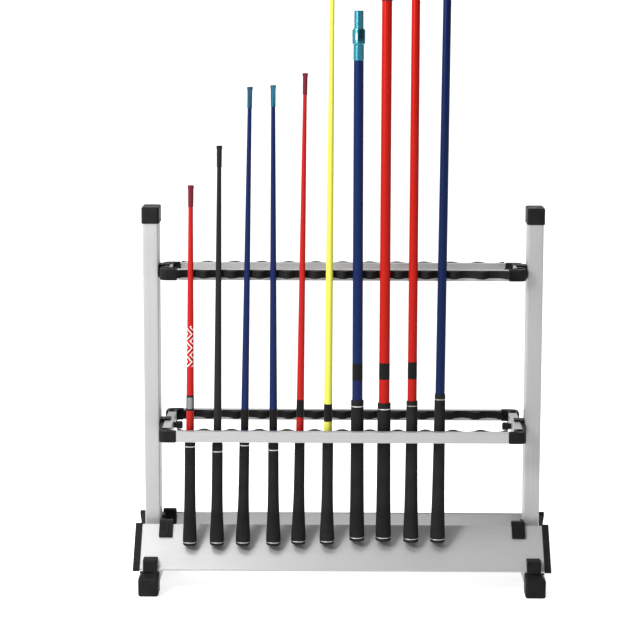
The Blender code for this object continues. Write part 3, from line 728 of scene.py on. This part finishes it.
RING_HEIGHT, RING_WIDTH, RING_PROUD = 0.0060, 0.0012, 0.0002
UPPER_RING_WIDTH = 0.0019
COLLAR_WIDTH, COLLAR_EDGE = 0.0030, 0.0002      # plain ends of the patterned grip
BAND_PROUD, BAND_EDGE = 0.00012, 0.0001
GRIP_OVER_BLANK = 0.0003                        # how far the grip's end stands over the blank
ROUND = 64
KNURL_CELLS, KNURL_ROW, KNURL_DEPTH, KNURL_LAND = 18, 0.0036, 0.00055, 0.00055
RIBS, RIB_STEPS, RIB_ROWS, RIB_DEPTH = 30, 6, 24, 0.028
SAME_LEVEL = 5e-5                               # CAD levels closer than this are one
FOOT_DEPTH = 1e-4                               # points this far over the lowest are the butt's foot

# Rod: grip pattern, height of its upper ring, colour of that ring, length of the shoulder,
# dark bands on the blank, and the finish of its plug
ROD_LOOKS = {
    "rod_01": ("knurled", 0.1815, "ring", 0.0020, (), "plug_maroon"),
    "rod_02": ("knurled", 0.1725, "ring", 0.0075, (), "plug_black"),
    "rod_03": ("knurled", 0.1835, "ring", 0.0020, ((0.2140, 0.2500),), "plug_steel_blue"),
    "rod_04": ("knurled", 0.1750, "ring", 0.0060, ((0.2140, 0.2500),), "plug_teal"),
    "rod_05": ("knurled", None, "", 0.0020, ((0.2340, 0.2660),), "plug_maroon"),
    "rod_06": ("ribbed", None, "", 0.0020, ((0.2260, 0.2580),), "plug_yellow"),
    "rod_07": ("knurled", 0.2475, "ring", 0.0015, ((0.2960, 0.3265),), "plug_teal_stepped"),
    "rod_08": ("knurled", 0.2425, "ring", 0.0015, ((0.2975, 0.3275),), "plug_maroon"),
    "rod_09": ("ribbed", 0.2500, "ring_dull", 0.0015, ((0.3000, 0.3310),), "plug_maroon"),
    "rod_10": ("ribbed", 0.2625, "ring_dull", 0.0040, (), "plug_midnight"),
}


class Rod:
    """A CAD rod's place, direction and profile, read from its mesh."""

    def __init__(self, body):
        self.body = body
        self.node = [name for name in NODES if name.startswith(body + "_")][0]
        joint = [found for found in frame["joints"] if found["child"] == body][0]
        self.axis = Vector(joint["axis"]).normalized()
        points = [vertex.co.copy() for vertex in NODES[self.node].data.vertices]
        heights = [point.dot(self.axis) for point in points]
        bottom = min(heights)
        foot = [point for point, height in zip(points, heights) if height < bottom + FOOT_DEPTH]
        low = Vector([min(point[i] for point in foot) for i in range(3)])
        high = Vector([max(point[i] for point in foot) for i in range(3)])
        self.butt = (low + high) / 2
        rings = {}
        for point, height in zip(points, heights):
            offset = point - self.butt
            radius = (offset - self.axis * offset.dot(self.axis)).length
            level = round(height - bottom, 5)
            rings[level] = max(rings.get(level, 0.0), radius)
        self.profile = merged_levels(sorted(rings.items()))
        # Levels from the butt up: four for its rounded edge, five for the grip, two for the blank,
        # and the rest for the plug.
        heights = [height for height, _ in self.profile]
        self.radii = [radius for _, radius in self.profile]
        self.edge = heights[3]
        self.butt_top, self.flare, self.waist, self.shoulder, self.grip_end = heights[4:9]
        self.plug_start = heights[10]
        turn = Vector((0, 0, 1)).rotation_difference(self.axis).to_matrix().to_4x4()
        self.place = Matrix.Translation(self.butt) @ turn

    def add(self, part, solid, finish, slot):
        item = make_object(f"{self.body}_{part}", solid, finish)
        item.matrix_world = self.place
        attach(item, self.body)
        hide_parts(self.node)
        return item

    def grip_radius(self, height):
        """A smooth curve through the grip's levels."""
        levels = [self.butt_top, self.flare, self.waist, self.shoulder]
        values = self.radii[4:8]
        if height <= levels[0]:
            return values[0]
        if height >= levels[-1]:
            return values[-1]
        slopes = [0.0]
        for index in (1, 2):
            before = (values[index] - values[index - 1]) / (levels[index] - levels[index - 1])
            after = (values[index + 1] - values[index]) / (levels[index + 1] - levels[index])
            slopes.append((before + after) / 2)
        slopes.append((values[3] - values[2]) / (levels[3] - levels[2]))
        index = max(i for i in range(3) if levels[i] <= height)
        width = levels[index + 1] - levels[index]
        t = (height - levels[index]) / width
        below = (2 * t ** 3 - 3 * t ** 2 + 1) * values[index]
        below += (t ** 3 - 2 * t ** 2 + t) * width * slopes[index]
        above = (3 * t ** 2 - 2 * t ** 3) * values[index + 1]
        above += (t ** 3 - t ** 2) * width * slopes[index + 1]
        return below + above

    def blank_radius(self, height):
        """The blank's even taper."""
        start, end = self.profile[9], self.profile[10]
        share = (height - start[0]) / (end[0] - start[0])
        return start[1] + share * (end[1] - start[1])


def merged_levels(levels):
    """Levels that differ only by rounding, made one."""
    merged = [levels[0]]
    for height, radius in levels[1:]:
        if height - merged[-1][0] < SAME_LEVEL:
            merged[-1] = (merged[-1][0], max(radius, merged[-1][1]))
        else:
            merged.append((height, radius))
    return merged


def band(start, end, radius_at, proud, edge=0.0003):
    """A collar that follows a radius, with rounded edges."""
    profile = [(start, radius_at(start) + proud - edge)]
    profile += [(start + edge, radius_at(start) + proud), (end - edge, radius_at(end) + proud)]
    profile += [(end, radius_at(end) + proud - edge)]
    return turned(profile, ROUND)


def knurled(radius_at, start, end):
    """A grip surface of raised diamonds between two heights."""
    rows = int((end - start) / KNURL_ROW)
    step = (end - start) / rows
    solid = bmesh.new()
    loops = []
    for row in range(rows + 1):
        height = start + row * step
        radius = radius_at(height) - KNURL_DEPTH
        loop = []
        for cell in range(KNURL_CELLS):
            angle = 2 * math.pi * (cell + 0.5 * (row % 2)) / KNURL_CELLS
            loop.append(solid.verts.new((radius * math.cos(angle), radius * math.sin(angle), height)))
        loops.append(loop)
    diamonds = []
    for row in range(rows - 1):
        for cell in range(KNURL_CELLS):
            following = (cell + 1) % KNURL_CELLS
            before = following if row % 2 else cell
            after = (before + 1) % KNURL_CELLS
            bottom, top = loops[row][following], loops[row + 2][following]
            sides = loops[row + 1][before], loops[row + 1][after]
            diamonds.append(solid.faces.new((bottom, sides[1], top, sides[0])))
    for row, other in ((0, 1), (rows, rows - 1)):
        for cell in range(KNURL_CELLS):
            following = (cell + 1) % KNURL_CELLS
            apex = following if row % 2 else cell
            solid.faces.new((loops[row][cell], loops[row][following], loops[other][apex]))
    solid.faces.new(loops[0])
    solid.faces.new(loops[-1])
    bmesh.ops.recalc_face_normals(solid, faces=solid.faces)
    bmesh.ops.inset_individual(solid, faces=diamonds, thickness=KNURL_LAND, depth=KNURL_DEPTH)
    return solid


def ribbed(radius_at, start, end):
    """A grip surface of fine ribs along the rod, which fade at both ends."""
    steps = RIBS * RIB_STEPS
    rings = []
    for row in range(RIB_ROWS + 1):
        height = start + (end - start) * row / RIB_ROWS
        fade = min(1.0, 4.0 * min(row, RIB_ROWS - row) / RIB_ROWS)
        ring = []
        for step in range(steps):
            angle = 2 * math.pi * step / steps
            groove = max(0.0, math.cos(RIBS * angle)) ** 2
            radius = radius_at(height) * (1 - RIB_DEPTH * fade * groove)
            ring.append((radius * math.cos(angle), radius * math.sin(angle), height))
        rings.append(ring)
    return skinned(rings)


# The butt's end, as heights and radii, round its small vent
VENT = ((0.0012, 0.0010), (0.0010, 0.0016), (0.0, 0.0020))
GRIP_END_SPACE = 0.002                          # left plain under the shoulder where there is no ring
FLAT_MIN = 0.0005                               # a shorter straight stretch under the shoulder is left out


def add_grip(rod, look, finishes):
    """The butt's cap and ring, the patterned grip between plain collars, its ring and its shoulder."""
    pattern, ring_height, ring_finish, shoulder, _, _ = look
    rubber = finishes["grip"]
    butt = rod.radii[4]
    cap = list(VENT)
    for reach, rise in arc((0.0, 0.0), 1.0, -90, 0, 7):
        cap.append((rod.edge * (1 + rise), butt - rod.edge * (1 - reach)))
    cap.append((RING_HEIGHT, butt))
    rod.add("butt_cap", turned(cap, ROUND), rubber, "grip_rubber")
    start = RING_HEIGHT + RING_WIDTH
    ring = band(RING_HEIGHT, start, rod.grip_radius, RING_PROUD)
    rod.add("butt_ring", ring, finishes["ring"], "ring_silver")
    top = ring_height if ring_height else rod.grip_end - shoulder - GRIP_END_SPACE
    collar = band(start, start + COLLAR_WIDTH, rod.grip_radius, 0.0, COLLAR_EDGE)
    rod.add("butt_collar", collar, rubber, "grip_rubber")
    make = knurled if pattern == "knurled" else ribbed
    rod.add("grip", make(rod.grip_radius, start + COLLAR_WIDTH, top - COLLAR_WIDTH), rubber, "grip_rubber")
    collar = band(top - COLLAR_WIDTH, top, rod.grip_radius, 0.0, COLLAR_EDGE)
    rod.add("grip_collar", collar, rubber, "grip_rubber")
    above = top
    if ring_height:
        above = top + UPPER_RING_WIDTH
        ring = band(top, above, rod.grip_radius, RING_PROUD)
        rod.add("upper_ring", ring, finishes[ring_finish], "ring_silver")
    radius = rod.grip_radius(above)
    narrow = rod.blank_radius(rod.grip_end) + GRIP_OVER_BLANK
    shoulder_start = rod.grip_end - shoulder
    profile = [(above, radius - COLLAR_EDGE), (above + COLLAR_EDGE, radius)]
    if shoulder_start > above + FLAT_MIN:
        profile.append((shoulder_start, radius))
    for step in range(1, 9):
        angle = math.radians(90 * step / 8)
        height = shoulder_start + shoulder * math.sin(angle)
        profile.append((height, narrow + (radius - narrow) * math.cos(angle)))
    rod.add("grip_top", turned(profile, ROUND), rubber, "grip_rubber")


BLANK_STEPS, BLANK_INTO_GRIP, BLANK_INTO_PLUG = 24, 0.004, 0.001


def add_blank(rod, look, finishes, colour, slot):
    """The tapered blank and its dark bands."""
    start = rod.grip_end - BLANK_INTO_GRIP
    profile = []
    for step in range(BLANK_STEPS + 1):
        height = start + (rod.plug_start + BLANK_INTO_PLUG - start) * step / BLANK_STEPS
        profile.append((height, rod.blank_radius(height)))
    rod.add("blank", turned(profile, ROUND), finishes[colour], slot)
    for number, (low, high) in enumerate(look[4]):
        ring = band(low, high, rod.blank_radius, BAND_PROUD, BAND_EDGE)
        rod.add(f"band_{number + 1}", ring, finishes["band"], "black_plastic")


LABEL_BAND_START, LABEL_BAND_END, LABEL_MARGIN, LABEL_CORNER = 0.2480, 0.2760, 0.0035, 0.0022
LABEL_HALF_ANGLE, LABEL_STEPS, LABEL_PROUD = math.radians(42), 12, 0.0003


def add_label(rod, finishes):
    """A black band with a rounded grey panel on its front. The panel is blank."""
    ring = band(LABEL_BAND_START, LABEL_BAND_END, rod.blank_radius, BAND_PROUD, BAND_EDGE)
    rod.add("label_band", ring, finishes["band"], "black_plastic")
    low, high = LABEL_BAND_START + LABEL_MARGIN, LABEL_BAND_END - LABEL_MARGIN
    corner = LABEL_CORNER
    levels = [low + corner * (1 - math.cos(math.radians(angle))) for angle in range(0, 91, 15)]
    levels += [low + high - level for level in reversed(levels)]
    rings = []
    for level in levels:
        from_end = min(level - low, high - level)
        inset = corner - math.sqrt(max(corner ** 2 - max(corner - from_end, 0.0) ** 2, 0.0))
        radius = rod.blank_radius(level)
        half = LABEL_HALF_ANGLE - inset / radius
        angles = [half * (2 * step / LABEL_STEPS - 1) for step in range(LABEL_STEPS + 1)]
        outline = [(radius + LABEL_PROUD, angle) for angle in angles]
        outline += [(radius, angle) for angle in reversed(angles)]
        rings.append([
            (reach * math.sin(angle), -reach * math.cos(angle), level) for reach, angle in outline
        ])
    rod.add("label_panel", skinned(rings), finishes["label"], "ring_silver")


PLUG_EASE, PLUG_FOOT = 0.0005, 0.0006            # eased edge, and how far under the blank it starts
# Depth and share of the radius of the recess in the plug's end
PLUG_RECESS = ((0.0, 0.55), (0.0015, 0.50))


def add_plug(rod, look, finishes, slot):
    """The tip plug, from the CAD levels with its edges eased."""
    levels = rod.profile[11:]
    profile = [(rod.plug_start, rod.profile[10][1] - PLUG_FOOT)]
    for index, (height, radius) in enumerate(levels):
        if index == 0:
            profile += [(height, radius - PLUG_EASE), (height + PLUG_EASE, radius)]
        elif index == len(levels) - 1:
            profile += [(height - PLUG_EASE, radius), (height, radius - PLUG_EASE)]
            profile += [(height - depth, radius * share) for depth, share in PLUG_RECESS]
        else:
            profile.append((height, radius))
    rod.add("plug", turned(profile, ROUND), finishes[look[5]], slot)


DEEP_COLOURED = ("rod_07", "rod_08", "rod_09", "rod_10")
PLUG_SLOTS = {"plug_maroon": "plug_maroon", "plug_teal": "plug_teal", "plug_teal_stepped": "plug_teal"}


def add_rods(finishes):
    for body, look in ROD_LOOKS.items():
        rod = Rod(body)
        colour = "rod_" + rod.node.split("_")[-1]
        add_grip(rod, look, finishes)
        paint = "rod_marks" if body == "rod_01" else colour
        if body in DEEP_COLOURED:
            paint = colour + "_deep"
        add_blank(rod, look, finishes, paint, colour)
        if body == "rod_01":
            add_label(rod, finishes)
        add_plug(rod, look, finishes, PLUG_SLOTS.get(look[5], colour))


# Stage

def look_at(item, target):
    direction = Vector(target) - item.location
    item.rotation_euler = direction.to_track_quat("-Z", "Y").to_euler()


def add_stage():
    """A plain floor, two soft lights, and surroundings that are bright to the left behind the rack."""
    half = FLOOR_SIZE / 2
    floor = make_object("floor", box((-half, -half, -FLOOR_THICKNESS), (half, half, 0.0)), pale_floor())
    for name, place, target, size, power in LIGHTS:
        light = bpy.data.lights.new(name, "AREA")
        light.shape = "SQUARE"
        light.size = size
        light.energy = power
        item = bpy.data.objects.new(name, light)
        bpy.context.scene.collection.objects.link(item)
        item.location = place
        look_at(item, target)
    world = bpy.data.worlds.new("studio")
    world.use_nodes = True
    nodes, links = world.node_tree.nodes, world.node_tree.links
    direction = nodes.new("ShaderNodeTexCoord")
    towards = nodes.new("ShaderNodeVectorMath")
    towards.operation = "DOT_PRODUCT"
    towards.inputs[1].default_value = WORLD_BRIGHT_SIDE
    brightness = nodes.new("ShaderNodeMapRange")
    brightness.interpolation_type = "SMOOTHSTEP"
    for end, cosine, strength in (("Min", -WORLD_FADE, WORLD_DARK), ("Max", WORLD_FADE, WORLD_BRIGHT)):
        brightness.inputs[f"From {end}"].default_value = cosine
        brightness.inputs[f"To {end}"].default_value = strength
    background = nodes["Background"]
    background.inputs["Color"].default_value = (1.0, 1.0, 1.0, 1.0)
    links.new(direction.outputs["Generated"], towards.inputs[0])
    links.new(towards.outputs["Value"], brightness.inputs["Value"])
    links.new(brightness.outputs["Result"], background.inputs["Strength"])
    bpy.context.scene.world = world
    bpy.context.scene.view_settings.view_transform = "Standard"


def add_camera():
    camera = bpy.data.cameras.new("camera")
    camera.lens = CAMERA_LENS
    camera.sensor_width = CAMERA_SENSOR
    camera.shift_y = CAMERA_SHIFT
    camera.clip_end = CAMERA_REACH
    item = bpy.data.objects.new("camera", camera)
    bpy.context.scene.collection.objects.link(item)
    item.location = CAMERA_PLACE
    turn = Matrix.Rotation(math.radians(CAMERA_TURN), 3, "Z")
    tilt = Matrix.Rotation(math.radians(CAMERA_TILT), 3, "X")
    roll = Matrix.Rotation(math.radians(CAMERA_ROLL), 3, "Z")
    item.rotation_euler = (turn @ tilt @ roll).to_euler()
    bpy.context.scene.camera = item


def make_finishes():
    return {
        "plastic": moulded("black_moulding", (0.007, 0.007, 0.0075), 0.48, 2600.0, 0.00010),
        "rubber": moulded("strip_rubber", (0.007, 0.0065, 0.0065), 0.66, 1500.0, 0.00012),
        "steel": turned_metal("zinc_screw", (0.50, 0.50, 0.51), 0.35),
        "grip": grip_rubber("grip_rubber"),
        "ring": turned_metal("silver_ring", (0.72, 0.72, 0.71), 0.28),
        "ring_dull": turned_metal("dull_ring", (0.42, 0.41, 0.37), 0.30),
        "label": lacquer("grey_label", (0.20, 0.20, 0.20)),
        "band": lacquer("black_band", (0.006, 0.0055, 0.0055)),
        "rod_red": lacquer("red_lacquer", (0.37, 0.011, 0.009)),
        "rod_marks": rod_marks("marked_red_lacquer", (0.37, 0.011, 0.009)),
        "rod_red_deep": lacquer("deep_red_lacquer", (0.38, 0.008, 0.004), 0.15),
        "rod_charcoal": lacquer("charcoal_lacquer", (0.014, 0.014, 0.014)),
        "rod_navy": lacquer("navy_lacquer", (0.006, 0.014, 0.070)),
        "rod_yellow": lacquer("yellow_lacquer", (0.62, 0.62, 0.09)),
        "rod_blue_deep": lacquer("deep_blue_lacquer", (0.005, 0.014, 0.075), 0.25),
        "rod_midnight_deep": lacquer("midnight_lacquer", (0.004, 0.012, 0.060), 0.3),
        "plug_maroon": lacquer("maroon_plug", (0.13, 0.012, 0.022)),
        "plug_black": lacquer("black_plug", (0.012, 0.012, 0.012)),
        "plug_yellow": lacquer("yellow_plug", (0.70, 0.73, 0.04)),
        "plug_midnight": lacquer("midnight_plug", (0.010, 0.025, 0.14)),
        "plug_steel_blue": turned_metal("steel_blue_plug", (0.035, 0.10, 0.17), 0.25),
        "plug_teal": turned_metal("teal_plug", (0.035, 0.17, 0.24), 0.25),
        "plug_teal_stepped": turned_metal("bright_teal_plug", (0.06, 0.30, 0.40), 0.22),
    }


FINISHES = make_finishes()
add_aluminium()
add_strips(FINISHES["rubber"])
add_post_caps(FINISHES["plastic"])
add_boots(FINISHES["plastic"])
finish_anchors(FINISHES["steel"])
add_end_caps(FINISHES["plastic"])
add_clips(FINISHES["plastic"])
add_corners(FINISHES["plastic"])
add_brackets(FINISHES["plastic"])
add_knobs(FINISHES["plastic"], FINISHES["steel"])
add_rods(FINISHES)
add_stage()
add_camera()
